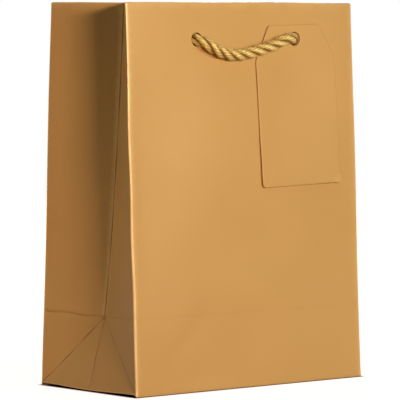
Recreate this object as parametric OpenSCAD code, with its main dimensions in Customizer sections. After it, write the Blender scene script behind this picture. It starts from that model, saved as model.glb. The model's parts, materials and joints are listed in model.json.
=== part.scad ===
// Paper gift bag with a block bottom, folding side gussets, two cord handles and a hanging tag.
// Lengths are in millimetres. X runs along the front, Y from front to back and Z up from the floor.
// The origin is the middle of the base. The body is one folded sheet, divided here at its creases.

/* [Bag] */
// Width of the front and back panels
bag_w = 140; // [110:1:240]
// Depth of the base, which is also the paper width of each gusset
bag_d = 71; // [56:1:110]
// Height of the bag, measured up a panel
bag_h = 180; // [160:1:320]
// Angle at which the front and back panels lean in, in degrees
lean = 2.45; // [1.5:0.05:5]
// How far the middle crease of a gusset dips below the corners at the mouth
mouth_dip = 0.6; // [0:0.1:2]
// Thickness of the bag paper
paper_t = 0.3; // [0.2:0.05:0.5]

/* [Mouth and base] */
// Depth of the paper folded in at the mouth
turn_in_h = 35; // [28:1:50]
// Distance between the lower edge of a mouth card and the edge of the turned-in paper
card_margin = 5; // [2:0.5:8]
// Thickness of the two stiffening cards hidden at the mouth
card_t = 0.8; // [0.5:0.1:1.5]
// Width of the glued lap at the back right corner
lap_w = 16; // [10:1:25]
// How far the front and back base flaps lie over each other
flap_overlap = 14; // [8:1:24]
// Length of the two end flaps under the base board
dust_flap_l = 40; // [25:1:50]
// Thickness of the loose board that stiffens the base
board_t = 0.8; // [0.5:0.1:2]

/* [Handles] */
// Diameter of the twisted cord
cord_d = 5; // [3:0.5:5.5]
// Diameter of the punched cord holes
hole_d = 6.5; // [6.1:0.1:9]
// Distance between the two holes of a panel
hole_spacing = 60; // [60:1:80]
// Distance from the top edge down to the hole centres, up the panel
hole_drop = 17.3; // [14:0.1:22]
// How far the pair of holes sits right of the middle of the panel
handle_shift = 1.8; // [-3:0.1:3]

/* [Gift tag] */
// Width of the tag
tag_w = 50; // [44:1:60]
// Height of the tag
tag_h = 76; // [60:1:90]
// Thickness of the tag card
tag_t = 0.4; // [0.3:0.05:0.8]
// Width of each cut-off top corner
tag_cut_w = 9; // [4:0.5:14]
// Height of each cut-off top corner
tag_cut_h = 16.5; // [8:0.5:24]
// Rounding of the tag corners
tag_r = 2; // [0.5:0.5:3]
// Distance from the top edge of the tag to its hole centre
tag_hole_drop = 6.7; // [6:0.1:9]
// Angle at which the tag hangs askew, in degrees
tag_turn = 1.5; // [-10:0.5:10]

/* [Hidden] */

gold_face = "#cd9c59";
gold_shade = "#96693a";
gold_cord = "#b49646";
grey_board = "#b9b2a4";

$fn = 48;

// Running gap between pieces that move or are dropped in
fit_gap = 0.3;
// Film of glue between two layers of twisted gusset paper
glue_t = 0.05;
// Strips that follow the slow twist of a gusset half, below the turned-in paper and beside it
lower_strips = 7;
upper_strips = 3;
// Sides of the swept cord
cord_sides = 12;
// Slope where the back base flap steps up over the front one
flap_ramp = 1.5;
// Taper at each end of a dust flap
dust_taper = 6;
// Rounding of the base board corners
board_r = 3;
// Length of cord that sticks out below a knot
knot_stub = 8;
// Gap that keeps a knot clear of the cord's slightly tilted end
knot_gap = 0.1;

// Horizontal thickness of one layer of leaning paper
paper_run = paper_t / cos(lean);
// Level of the mouth and of the hole centres
top_z = bag_h * cos(lean);
hole_z = (bag_h - hole_drop) * cos(lean);
// Lower edges of the turned-in paper and of the mouth card
turn_in_z = (bag_h - turn_in_h) * cos(lean);
card_z = turn_in_z + card_margin;
// Thickness of card and turned-in paper behind a panel
mouth_stack = card_t + paper_t;
// Height at which the diagonal creases of a gusset meet the middle crease, up the paper
meet_s = bag_d / 2;
// Distance from a panel to the centre of the cord loop in front of it
loop_off = fit_gap + tag_t + fit_gap + cord_d / 2;

// Route of a hanging loop from left hole to right hole: along the panel and up it
loop_route = [
    [-30, 0], [-27, -2.4], [-22.5, -4.6], [-17, -6.3], [-10.5, -7.4], [-4, -7.1],
    [3, -5.9], [9.5, -4.4], [16.5, -2.5], [23, -0.8], [30, 0]
];
// Route of a cord tail from the hole centre: up the panel and out of it
tail_route = [
    [0, -1.5], [-0.3, -4.1], [-1.3, -6.5], [-2.9, -8.6], [-5, -10.2], [-7.4, -11.2],
    [-10, -11.5], [-23, -11.6], [-36, -11.8], [-49, -12], [-62, -12.2], [-75, -12.4]
];

// ---- The folded paper: where each crease runs ----

// Distance from the middle plane to the outer face and to the inner face of a panel
function half_out(s) = bag_d / 2 - s * sin(lean);
function half_in(s) = half_out(s) - paper_run;

// Drop of a gusset's middle crease below its outer creases
meet_dip = meet_s * (cos(lean) - tan(45 - lean / 2));
function dip(s) = meet_dip + (mouth_dip - meet_dip) * (s - meet_s) / (bag_h - meet_s);

// The paper of a gusset half keeps its width, so the narrower mouth pushes the middle crease inwards
function fold_in(s) = sqrt(meet_s ^ 2 - half_out(s) ^ 2 - dip(s) ^ 2);
function fold_slope(s) = fold_in(s) / half_in(s);
function paper_shift(s) = paper_t * sqrt(1 + fold_slope(s) ^ 2);

// Point on the outer skin of the left gusset's front half, a distance e behind the panel's inner face
function gusset_point(s, e) = [
    -bag_w / 2 + e * fold_slope(s),
    -(half_in(s) - e),
    s * cos(lean) - dip(s) * e / half_in(s)
];
function crease_point(s) = gusset_point(s, half_in(s));
function flip_y(p) = [p.x, -p.y, p.z];

// Levels of the strips up an upper gusset half
lower_levels = [
    for (i = [0 : lower_strips]) meet_s + (bag_h - turn_in_h - meet_s) * i / lower_strips
];
upper_levels = [for (i = [1 : upper_strips]) bag_h - turn_in_h * (1 - i / upper_strips)];

// Bottom corner of the gusset, standing on the base flaps
base_corner = [-bag_w / 2, -half_in(paper_t / cos(lean)), paper_t];
// Inward slope of the gusset's base triangle
base_slope = fold_in(meet_s) / (crease_point(meet_s).z - paper_t);

// Space that the gusset paper takes at the ends of the mouth pieces and of the base pieces
mouth_inset = paper_shift(bag_h) + mouth_stack * fold_slope(bag_h) + fit_gap;
dust_inset = paper_shift(meet_s) + 2 * paper_t * base_slope;
board_inset = paper_shift(meet_s) + (2 * paper_t + board_t) * base_slope + fit_gap;

// ---- General shapes ----

// Outline with each corner rounded by the same radius
function unit(v) = v / norm(v);
function rounded(corners, r) = [
    for (i = [0 : len(corners) - 1])
        let (
            here = corners[i],
            back = unit(corners[(i + len(corners) - 1) % len(corners)] - here),
            next = unit(corners[(i + 1) % len(corners)] - here),
            half_angle = acos(back * next) / 2,
            centre = here + unit(back + next) * r / sin(half_angle),
            first = here + back * r / tan(half_angle) - centre,
            turn = sign(cross(back, next)) * (180 - 2 * half_angle)
        )
        for (k = [0 : 6])
            let (a = -turn * k / 6)
            centre + [first.x * cos(a) - first.y * sin(a), first.x * sin(a) + first.y * cos(a)]
];

// Solid through a list of rings that all have the same number of points. The second half of each
// ring is split along the opposite diagonals, so that a twisted layer keeps its thickness.
module loft(rings) {
    n = len(rings[0]);
    last = len(rings) - 1;
    side_faces = [
        for (i = [0 : last - 1], j = [0 : n - 1])
            let (a = i * n + j, b = i * n + (j + 1) % n)
            each j < n / 2
                ? [[a, b, b + n], [a, b + n, a + n]]
                : [[a, b, a + n], [b, b + n, a + n]]
    ];
    polyhedron(
        points = [for (ring = rings) each ring],
        faces = [
            [for (j = [n - 1 : -1 : 0]) j],
            [for (j = [0 : n - 1]) last * n + j],
            each side_faces
        ]
    );
}

// Round tube along a route, whose sides are set out from one reference direction
module tube(route, diameter, reference) {
    last = len(route) - 1;
    loft([
        for (i = [0 : last])
            let (
                along = unit(route[min(i + 1, last)] - route[max(i - 1, 0)]),
                side = unit(cross(reference, along)),
                up = cross(along, side)
            )
            [
                for (k = [0 : cord_sides - 1])
                    let (a = 360 * k / cord_sides)
                    route[i] + (side * cos(a) + up * sin(a)) * diameter / 2
            ]
    ]);
}

// Profile of depth behind the front face and height, drawn out along the width
module along_width(profile, length, middle = 0) {
    points = [for (p = profile) [-(bag_d / 2 - p.y * tan(lean)) + p.x / cos(lean), p.y]];
    translate([middle - length / 2, 0, 0])
        rotate([90, 0, 90])
            linear_extrude(length)
                polygon(points);
}

module layer(depth, thickness, low, high, length, middle = 0) {
    far = depth + thickness;
    along_width([[depth, low], [depth, high], [far, high], [far, low]], length, middle);
}

// Frame of a cord hole on the front panel: X along it, Y up it and Z straight out of it
module at_hole(side) {
    translate([handle_shift + side * hole_spacing / 2, -half_out(bag_h - hole_drop), hole_z])
        rotate([90 - lean, 0, 0])
            children();
}

module cord_holes() {
    for (side = [-1, 1])
        at_hole(side)
            translate([0, 0, -10])
                cylinder(d = hole_d, h = 20);
}

module to_back() {
    mirror([0, 1, 0]) children();
}

module to_right() {
    mirror([1, 0, 0]) children();
}

// ---- Panels and gussets ----

module panel() {
    difference() {
        layer(0, paper_t, paper_t, top_z, bag_w);
        cord_holes();
    }
}

// One layer of a gusset half, from a distance e behind the panel's inner face to the middle crease
module gusset_layer(levels, e, layers_outside) {
    loft([
        for (s = levels)
            let (
                inner = [paper_shift(s), 0, 0],
                outer = (inner + [glue_t, 0, 0]) * layers_outside,
                edge = gusset_point(s, e) + outer,
                crease = crease_point(s) + outer
            )
            [edge, edge + inner, crease + inner, crease]
    ]);
}

// One half of a gusset above its diagonal creases, twisting slowly towards the mouth
module gusset_upper() {
    gusset_layer(concat(lower_levels, upper_levels), 0, 0);
}

// Flat three-cornered facet of gusset paper
module gusset_facet(a, b, c) {
    inner = [paper_shift(meet_s), 0, 0];
    loft([[a, b, c], [a + inner, b + inner, c + inner]]);
}

module gusset_corner() {
    gusset_facet(base_corner, gusset_point(meet_s, 0), crease_point(meet_s));
}

module gusset_triangle() {
    gusset_facet(base_corner, crease_point(meet_s), flip_y(base_corner));
}

module front_panel() {
    color(gold_face) panel();
}

module back_panel() {
    color(gold_face) to_back() panel();
}

module left_gusset_upper_front() {
    color(gold_shade) gusset_upper();
}

module left_gusset_upper_back() {
    color(gold_shade) to_back() gusset_upper();
}

module left_gusset_corner_front() {
    color(gold_shade) gusset_corner();
}

module left_gusset_corner_back() {
    color(gold_shade) to_back() gusset_corner();
}

module left_gusset_base_triangle() {
    color(gold_shade) gusset_triangle();
}

module right_gusset_upper_front() {
    color(gold_shade) to_right() gusset_upper();
}

module right_gusset_upper_back() {
    color(gold_shade) to_right() to_back() gusset_upper();
}

module right_gusset_corner_front() {
    color(gold_shade) to_right() gusset_corner();
}

module right_gusset_corner_back() {
    color(gold_shade) to_right() to_back() gusset_corner();
}

module right_gusset_base_triangle() {
    color(gold_shade) to_right() gusset_triangle();
}

// ---- Mouth: turned-in paper and stiffening cards ----

// Hooks over the card: a lip along the mouth and a strip down the inside
module turn_in() {
    front = paper_t;
    inside = paper_t + card_t;
    difference() {
        along_width([
            [front, top_z - paper_t], [front, top_z], [inside + paper_t, top_z],
            [inside + paper_t, turn_in_z], [inside, turn_in_z], [inside, top_z - paper_t]
        ], bag_w - 2 * mouth_inset);
        cord_holes();
    }
}

module mouth_card() {
    difference() {
        layer(paper_t, card_t, card_z, top_z - paper_t, bag_w - 2 * mouth_inset);
        cord_holes();
    }
}

// Second layer of paper inside a gusset, between the turn-ins of the panels
module gusset_turn_in() {
    start = mouth_stack / cos(lean) + fit_gap / 3;
    levels = concat([bag_h - turn_in_h], upper_levels);
    gusset_layer(levels, start, 1);
    to_back() gusset_layer(levels, start, 1);
}

module front_turn_in() {
    color(gold_face) turn_in();
}

module back_turn_in() {
    color(gold_face) to_back() turn_in();
}

module left_gusset_turn_in() {
    color(gold_shade) gusset_turn_in();
}

module right_gusset_turn_in() {
    color(gold_shade) to_right() gusset_turn_in();
}

module front_mouth_card() {
    color(grey_board) mouth_card();
}

module back_mouth_card() {
    color(grey_board) to_back() mouth_card();
}

// ---- Seam and base ----

// Lap of the right gusset that is glued inside the back panel
module side_seam_lap() {
    middle = bag_w / 2 - mouth_inset - lap_w / 2;
    color("white")
        to_back()
            layer(paper_t, paper_t, 3 * paper_t, card_z - fit_gap, lap_w, middle);
}

module front_base_flap() {
    color(gold_face)
        translate([-bag_w / 2, -bag_d / 2, 0])
            cube([bag_w, (bag_d + flap_overlap) / 2, paper_t]);
}

// Steps up where it lies over the front flap; the step is cut short to clear the gussets
module back_base_flap() {
    step = flap_overlap / 2 + fit_gap + flap_ramp;
    tongue = bag_w - 2 * (paper_shift(meet_s) + fit_gap);
    color(gold_face) {
        translate([-bag_w / 2, step, 0])
            cube([bag_w, bag_d / 2 - step, paper_t]);
        translate([-tongue / 2, 0, 0])
            rotate([90, 0, 90])
                linear_extrude(tongue)
                    polygon([
                        [step, 0], [step - flap_ramp, paper_t], [-flap_overlap / 2, paper_t],
                        [-flap_overlap / 2, 2 * paper_t], [step - flap_ramp, 2 * paper_t], [step, paper_t]
                    ]);
    }
}

module dust_flap() {
    near = -bag_w / 2 + dust_inset;
    half = half_in(0) - fit_gap;
    translate([0, 0, 2 * paper_t])
        linear_extrude(paper_t)
            polygon([
                [near, -half], [near + dust_flap_l, -half + dust_taper],
                [near + dust_flap_l, half - dust_taper], [near, half]
            ]);
}

module left_dust_flap() {
    color("white") dust_flap();
}

module right_dust_flap() {
    color("white") to_right() dust_flap();
}

module base_board() {
    half_l = bag_w / 2 - board_inset;
    half_d = half_in(0) - 2 * paper_run - fit_gap;
    color(grey_board)
        translate([0, 0, 3 * paper_t])
            linear_extrude(board_t)
                polygon(rounded([
                    [-half_l, -half_d], [half_l, -half_d], [half_l, half_d], [-half_l, half_d]
                ], board_r));
}

// ---- Gift tag ----

module gift_tag() {
    top = tag_hole_drop;
    outline = [
        [-tag_w / 2 + tag_cut_w, top], [-tag_w / 2, top - tag_cut_h], [-tag_w / 2, top - tag_h],
        [tag_w / 2, top - tag_h], [tag_w / 2, top - tag_cut_h], [tag_w / 2 - tag_cut_w, top]
    ];
    color(gold_face)
        at_hole(1)
            rotate([0, 0, tag_turn])
                translate([0, 0, fit_gap])
                    linear_extrude(tag_t)
                        difference() {
                            polygon(rounded(outline, tag_r));
                            circle(d = hole_d);
                        }
}

// ---- Cord handles ----

// The stretch that hangs in front of a panel, turning about the line through its two ends
module handle_loop() {
    stretch = hole_spacing / (loop_route[len(loop_route) - 1].x - loop_route[0].x);
    translate([handle_shift, -half_out(bag_h - hole_drop), hole_z])
        rotate([90 - lean, 0, 0])
            tube([for (p = loop_route) [p.x * stretch, p.y, loop_off]], cord_d, [0, 0, 1]);
}

// The stretch from the hole down to the knot inside the bag
module handle_tail(side) {
    at_hole(side)
        tube([[0, 0, fit_gap + tag_t], for (p = tail_route) [0, p.x, p.y]], cord_d, [1, 0, 0]);
}

// Overhand knot, drawn as two wraps around the cord, with the cut end below
module handle_knot(side) {
    wrap = cord_d * 0.62;
    rise = cord_d * 0.42;
    end = tail_route[len(tail_route) - 1];
    at_hole(side)
        translate([0, end.x - knot_gap, end.y])
            rotate([lean - 90, 0, 0]) {
                rotate_extrude() {
                    translate([0, -cord_d / 2 - 2 * rise]) square([wrap, cord_d / 2 + 2 * rise]);
                    for (z = [-cord_d / 2, -cord_d / 2 - 2 * rise])
                        translate([wrap, z]) circle(d = cord_d);
                }
                translate([0, 0, -cord_d / 2 - 2 * rise - knot_stub])
                    cylinder(d = cord_d, h = knot_stub);
            }
}

module front_handle_loop() {
    color(gold_cord) handle_loop();
}

module front_handle_left_tail() {
    color(gold_cord) handle_tail(-1);
}

module front_handle_right_tail() {
    color(gold_cord) handle_tail(1);
}

module front_handle_left_knot() {
    color(gold_cord) handle_knot(-1);
}

module front_handle_right_knot() {
    color(gold_cord) handle_knot(1);
}

module back_handle_loop() {
    color(gold_cord) to_back() handle_loop();
}

module back_handle_left_tail() {
    color(gold_cord) to_back() handle_tail(-1);
}

module back_handle_right_tail() {
    color(gold_cord) to_back() handle_tail(1);
}

module back_handle_left_knot() {
    color(gold_cord) to_back() handle_knot(-1);
}

module back_handle_right_knot() {
    color(gold_cord) to_back() handle_knot(1);
}

front_panel();
back_panel();
left_gusset_upper_front();
left_gusset_upper_back();
left_gusset_corner_front();
left_gusset_corner_back();
left_gusset_base_triangle();
right_gusset_upper_front();
right_gusset_upper_back();
right_gusset_corner_front();
right_gusset_corner_back();
right_gusset_base_triangle();
front_turn_in();
back_turn_in();
left_gusset_turn_in();
right_gusset_turn_in();
side_seam_lap();
front_base_flap();
back_base_flap();
left_dust_flap();
right_dust_flap();
front_mouth_card();
back_mouth_card();
base_board();
gift_tag();
front_handle_loop();
front_handle_left_tail();
front_handle_right_tail();
front_handle_left_knot();
front_handle_right_knot();
back_handle_loop();
back_handle_left_tail();
back_handle_right_tail();
back_handle_left_knot();
back_handle_right_knot();
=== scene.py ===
import json
import math

import bmesh
import bpy
import numpy as np
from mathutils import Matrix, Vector, kdtree
from mathutils.geometry import delaunay_2d_cdt


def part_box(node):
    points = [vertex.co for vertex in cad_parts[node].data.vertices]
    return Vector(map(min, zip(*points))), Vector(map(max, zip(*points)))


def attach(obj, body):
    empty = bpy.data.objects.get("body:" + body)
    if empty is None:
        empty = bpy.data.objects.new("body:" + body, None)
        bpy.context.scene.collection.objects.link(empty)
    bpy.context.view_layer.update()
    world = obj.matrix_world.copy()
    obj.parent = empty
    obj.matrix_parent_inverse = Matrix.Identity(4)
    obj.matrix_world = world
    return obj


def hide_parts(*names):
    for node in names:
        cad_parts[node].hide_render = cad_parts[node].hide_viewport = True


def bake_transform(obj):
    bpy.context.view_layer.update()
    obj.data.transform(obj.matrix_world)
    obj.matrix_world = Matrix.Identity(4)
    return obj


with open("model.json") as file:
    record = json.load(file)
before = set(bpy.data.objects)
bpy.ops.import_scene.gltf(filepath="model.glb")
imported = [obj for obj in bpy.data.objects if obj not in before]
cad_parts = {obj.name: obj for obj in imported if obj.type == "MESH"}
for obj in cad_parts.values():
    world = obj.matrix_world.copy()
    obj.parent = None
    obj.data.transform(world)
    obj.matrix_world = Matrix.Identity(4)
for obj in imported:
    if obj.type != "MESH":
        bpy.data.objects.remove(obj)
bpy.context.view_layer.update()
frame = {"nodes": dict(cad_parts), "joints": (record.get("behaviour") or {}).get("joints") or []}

mm = 0.001


def span(node):
    # lowest and highest corner of a CAD node, in millimetres
    low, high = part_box(node)
    return np.array(low) / mm, np.array(high) / mm


# the bag's own sizes, read from the frame
panelLow, panelHigh = span("front_panel")
flapLow, flapHigh = span("front_base_flap")
paperT = flapHigh[2] - flapLow[2]
bagW = flapHigh[0] - flapLow[0]
bagD = span("back_base_flap")[1][1] - flapLow[1]
mouthZ = panelHigh[2]
leanTan = (panelHigh[1] - panelLow[1] - paperT) / (mouthZ - paperT)
lean = math.atan(leanTan)
bagH = mouthZ / math.cos(lean)
meetS = bagD / 2  # height at which the gusset creases meet
turnInH = bagH - span("front_turn_in")[0][2] / math.cos(lean)
cardInset = bagW / 2 - span("front_mouth_card")[1][0]
joints = {j["name"]: j for j in frame["joints"]}
tagPivot = np.array(joints["tag_swing"]["pos_m"]) / mm
loopPivot = np.array(joints["front_handle_swing"]["pos_m"]) / mm
holeY, holeZ = tagPivot[1], tagPivot[2]
holeS = holeZ / math.cos(lean)
holeHalf = tagPivot[0] - loopPivot[0]
holeMiddle = loopPivot[0]
loopOff = (holeY - loopPivot[1]) / math.cos(lean)
print(f"bag {bagW:.1f} x {bagD:.1f} x {bagH:.1f} mm, lean {math.degrees(lean):.2f} deg, "
      f"holes {2 * holeHalf:.1f} mm apart")


def bell(value, width):
    return np.exp(-(value / width) ** 2)


def tent(value, width):
    return np.clip(1 - np.abs(value) / width, 0, 1)


def rampTo(value):
    t = np.clip(value, 0, 1)
    return t * t * (3 - 2 * t)


def panelToFrame(x, up, out, side=-1):
    # a point given along, up and straight out of a panel, from the middle of its two holes
    y = holeY + up * math.sin(lean) - out * math.cos(lean)
    z = holeZ + up * math.cos(lean) + out * math.sin(lean)
    return np.array([holeMiddle + x, y if side < 0 else -y, z])


def addObject(name, data):
    obj = bpy.data.objects.new(name, data)
    bpy.context.scene.collection.objects.link(obj)
    return obj


def aimAt(obj, target):
    # a camera or a lamp looks along its own -Z
    obj.rotation_euler = (target - obj.location).to_track_quat("-Z", "Y").to_euler()


camera = {
    "azimuth": -40.19, "height": 174.1, "distance": 1552.7, "lens": 294.9, "sensor": 36.0,
    "clipStart": 0.05, "clipEnd": 30.0, "target": (-2.0, 0.0, 86.2)}
turn = math.radians(camera["azimuth"])
camData = bpy.data.cameras.new("camera")
camData.lens = camera["lens"]
camData.sensor_width = camera["sensor"]
camData.clip_start = camera["clipStart"]
camData.clip_end = camera["clipEnd"]
camObj = addObject("camera", camData)
camTarget = Vector(camera["target"]) * mm
camObj.location = (camTarget.x + camera["distance"] * mm * math.sin(turn),
                   camTarget.y - camera["distance"] * mm * math.cos(turn),
                   camera["height"] * mm)
aimAt(camObj, camTarget)
bpy.context.scene.camera = camObj


def colour(hexText):
    # sRGB hex to the linear values that the shader sockets take
    parts = [int(hexText.lstrip("#")[i:i + 2], 16) / 255 for i in (0, 2, 4)]
    return [p / 12.92 if p <= 0.04045 else ((p + 0.055) / 1.055) ** 2.4 for p in parts] + [1.0]


def addNode(tree, kind, inputs=None, stops=(), **settings):
    # one node with its inputs, colour stops and settings; an input is a value, a node, which
    # means its first output, or (node, output), and shader nodes go without their first word
    whole = kind.startswith(("Geometry", "NodeGroup"))
    node = tree.nodes.new(kind if whole else "ShaderNode" + kind)
    for key, value in settings.items():
        setattr(node, key, value)
    for key, value in (inputs or {}).items():
        source, output = value if isinstance(value, tuple) and len(value) == 2 else (value, 0)
        if isinstance(source, bpy.types.Node):
            tree.links.new(source.outputs[output], node.inputs[key])
        else:
            node.inputs[key].default_value = value
    if stops:
        band = node.color_ramp.elements
        while len(band) < len(stops):
            band.new(0.5)
        for stop, (place, hexText) in zip(band, stops):
            stop.position = place
            stop.color = colour(hexText)
    return node


def newMaterial(name):
    mat = bpy.data.materials.new(name)
    mat.use_nodes = True
    mat.node_tree.nodes.clear()
    return mat, mat.node_tree


# cloud, grain and scuff are patterns: size in millimetres, detail and roughness of the noise; scuff
# makes the pale folds patchy, both where they are worn and in their painted highlight
goldFoil = {
    "cloudStops": [(0.3, "#c6a760"), (0.7, "#ccad66")], "roughness": 0.42, "metallic": 0.05,
    "specular": 0.05, "coat": 0.05, "coatRoughness": 0.26, "creaseShadeColour": "#5e2b00",
    "wearAndHighlightColour": "#f6d496", "rubbedMetallic": 0.5, "rubbedRoughness": 0.3,
    "cloud": (60.0, 3.0, 0.45), "grain": (0.5, 2.0, 0.5), "grainHeight": 0.006, "grainShare": 0.25,
    "scuff": (7.0, 3.0, 0.5), "scuffFrom": 0.35, "scuffTo": 0.6, "scuffLeast": 0.75}


def goldPaperMaterial(name):
    # satin film laminated on printed paper: an even gold with a fine pearly grain and soft clouding,
    # painted shade darkening its pressed creases, and pale along the folds that stand out, partly
    # worn and partly a painted highlight
    mat, tree = newMaterial(name)
    place = addNode(tree, "TexCoord")
    cloud, grain, scuff = [addNode(tree, "TexNoise",
        {"Vector": (place, "Object"), "Scale": 1000 / size, "Detail": detail, "Roughness": rough})
        for size, detail, rough in (goldFoil["cloud"], goldFoil["grain"], goldFoil["scuff"])]
    tint = addNode(tree, "ValToRGB", {"Fac": cloud}, goldFoil["cloudStops"])
    bump = addNode(tree, "Bump", {"Height": grain, "Strength": goldFoil["grainShare"],
        "Distance": goldFoil["grainHeight"] * mm})
    crease = addNode(tree, "Attribute", attribute_name="crease")
    rubbed_and_highlight = addNode(tree, "Attribute", attribute_name="rubbed_and_highlight")
    patchy = addNode(tree, "MapRange", {"Value": scuff, "From Min": goldFoil["scuffFrom"],
        "From Max": goldFoil["scuffTo"], "To Min": goldFoil["scuffLeast"]})
    # painted shade: the creases go dark brown
    dark = addNode(tree, "Mix", {0: (crease, "Fac"), 6: tint, 7: colour(goldFoil["creaseShadeColour"])},
        data_type="RGBA")
    wearAndHighlight = addNode(tree, "Math", {0: (rubbed_and_highlight, "Fac"), 1: patchy}, operation="MULTIPLY")
    # pale where the film is worn, and a painted highlight along the same folds
    final = addNode(tree, "Mix", {0: wearAndHighlight, 6: (dark, 2), 7: colour(goldFoil["wearAndHighlightColour"])},
        data_type="RGBA")
    metal = addNode(tree, "MapRange", {"Value": wearAndHighlight, "To Min": goldFoil["metallic"],
        "To Max": goldFoil["rubbedMetallic"]})
    rough = addNode(tree, "MapRange", {"Value": wearAndHighlight, "To Min": goldFoil["roughness"],
        "To Max": goldFoil["rubbedRoughness"]})
    shader = addNode(tree, "BsdfPrincipled", {"Base Color": (final, 2), "Normal": bump,
        "Metallic": metal, "Roughness": rough, "Specular IOR Level": goldFoil["specular"],
        "Coat Weight": goldFoil["coat"], "Coat Roughness": goldFoil["coatRoughness"]})
    addNode(tree, "OutputMaterial", {"Surface": shader})
    return mat


fibreStyle = {
    "upright": 0.35, "detail": 4.0, "noiseRoughness": 0.6, "deepFrom": 0.35,
    "lightTo": 0.65, "bumpShare": 0.4, "bumpHeight": 0.02}


def fibreMaterial(name, light, deep, fibreMm, roughness):
    # uncoated paper or board: matt, with short fibres a few tenths of a millimetre wide
    mat, tree = newMaterial(name)
    place = addNode(tree, "TexCoord")
    stretch = addNode(tree, "Mapping", {"Vector": (place, "Object"),
        "Scale": (1.0, 1.0, fibreStyle["upright"])})
    fibre = addNode(tree, "TexNoise", {"Vector": stretch, "Scale": 1000 / fibreMm,
        "Detail": fibreStyle["detail"], "Roughness": fibreStyle["noiseRoughness"]})
    tint = addNode(tree, "ValToRGB", {"Fac": fibre},
        [(fibreStyle["deepFrom"], deep), (fibreStyle["lightTo"], light)])
    bump = addNode(tree, "Bump", {"Height": fibre, "Strength": fibreStyle["bumpShare"],
        "Distance": fibreStyle["bumpHeight"] * mm})
    shader = addNode(tree, "BsdfPrincipled", {"Base Color": tint, "Normal": bump,
        "Roughness": roughness})
    addNode(tree, "OutputMaterial", {"Surface": shader})
    return mat


# the groove stops run from painted shade deep in a groove to a painted highlight on a strand's crown
viscose = {
    "metallic": 0.3, "roughness": 0.36, "yarnShare": 0.42, "bumpShare": 0.5,
    "bumpHeight": 0.12, "yarnStops": [(0.0, "#9c7c44"), (0.6, "#ffffff")],
    "grooveShadeStops": [(0.0, "#2e1f08"), (0.5, "#7a5c1c"), (0.74, "#c0a243"),
                    (1.0, "#ead87a")]}


def cordMaterial():
    # shiny viscose yarn, twisted: each strand shows its yarns, with painted shade going brown in the
    # grooves and a painted highlight pale on the strands' crowns
    # real yarns are too fine to show in the render, so they are drawn as coarse as they need to be
    mat, tree = newMaterial("gold_viscose_twisted_cord")
    place = addNode(tree, "Attribute", attribute_name="strand")
    split = addNode(tree, "SeparateXYZ", {"Vector": (place, "Vector")})
    slant = addNode(tree, "Math", {0: (split, "X"), 1: (split, "Y")}, operation="ADD")
    wave = addNode(tree, "Math", {0: slant, 1: 2 * math.pi}, operation="MULTIPLY")
    stripe = addNode(tree, "Math", {0: wave}, operation="SINE")
    # painted shade in the grooves and a painted highlight on the crowns, by how far each face turns
    # outwards
    grooveShade = addNode(tree, "ValToRGB", {"Fac": (split, "Z")}, viscose["grooveShadeStops"])
    yarn = addNode(tree, "ValToRGB", {"Fac": stripe}, viscose["yarnStops"])
    tint = addNode(tree, "Mix", {0: viscose["yarnShare"], 6: grooveShade, 7: yarn}, data_type="RGBA",
        blend_type="MULTIPLY")
    bump = addNode(tree, "Bump", {"Height": stripe, "Strength": viscose["bumpShare"],
        "Distance": viscose["bumpHeight"] * mm})
    shader = addNode(tree, "BsdfPrincipled", {"Base Color": (tint, 2), "Normal": bump,
        "Metallic": viscose["metallic"], "Roughness": viscose["roughness"]})
    addNode(tree, "OutputMaterial", {"Surface": shader})
    return mat


goldPaper = goldPaperMaterial("satin_gold_laminated_paper")
tagGold = goldPaperMaterial("satin_gold_tag_card")
paperWhite = fibreMaterial("uncoated_white_paper", "#f1ede4", "#e2ddd1", 0.4, 0.92)
cutEdge = fibreMaterial("cut_card_edge", "#ecd09a", "#d9b777", 0.3, 0.8)
greyBoard = fibreMaterial("uncoated_grey_board", "#bdb6a8", "#a49d8f", 0.6, 0.95)
goldCord = cordMaterial()
print("materials made")

# millimetres; frontBend and backBend are the radii of the cord's bends through its hole,
# turnFrom and turnTo bound the stretch in which a swung loop turns over, counted from the hole
# inwards, and a yarn goes once round its strand in yarnLay
cordStyle = {
    "diameter": 5.0, "lay": 20.8, "strands": 3, "strandR": 1.5, "strandOut": 1.25,
    "stepMm": 0.8, "sides": 18, "yarns": 6.0, "yarnLay": 12.0, "frontBend": 9.0,
    "backBend": 10.0, "turnFrom": 2.8, "turnTo": 19.0, "holeIn": 0.3, "holeUp": 0.3,
    "holeUneven": 0.2, "holeBack": 0.7, "tailSettle": 45.0, "pathStep": 0.5,
    "loop": [(-22.5, -4.6), (-17, -6.3), (-10.5, -7.4), (-4, -7.1), (3, -5.9),
             (9.5, -4.4), (16.5, -2.5), (23, -0.8)],
    "tail": [(-23, -11.6), (-36, -11.8), (-49, -12), (-62, -12.2), (-75, -12.4)]}
# neck, wound, open and close are shares of the knot's own length of cord
knotStyle = {
    "wrapR": 3.2, "wraps": 2.35, "points": 60, "neck": 0.1, "wound": 0.72, "neckMm": 1.8,
    "woundMm": 7.4, "endMm": 9.0, "openFrom": 0.04, "openOver": 0.16, "closeTo": 0.9,
    "closeOver": 0.14, "pathStep": 0.4}


def evenly(path, step):
    # the same line in even steps
    reach = np.concatenate([[0], np.cumsum(np.linalg.norm(np.diff(path, axis=0), axis=1))])
    even = np.linspace(0, reach[-1], int(reach[-1] / step) + 1)
    return np.stack([np.interp(even, reach, path[:, k]) for k in range(3)], axis=1)


def between(t, start, end, a, b):
    return (end - t) / (end - start) * a + (t - start) / (end - start) * b


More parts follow.
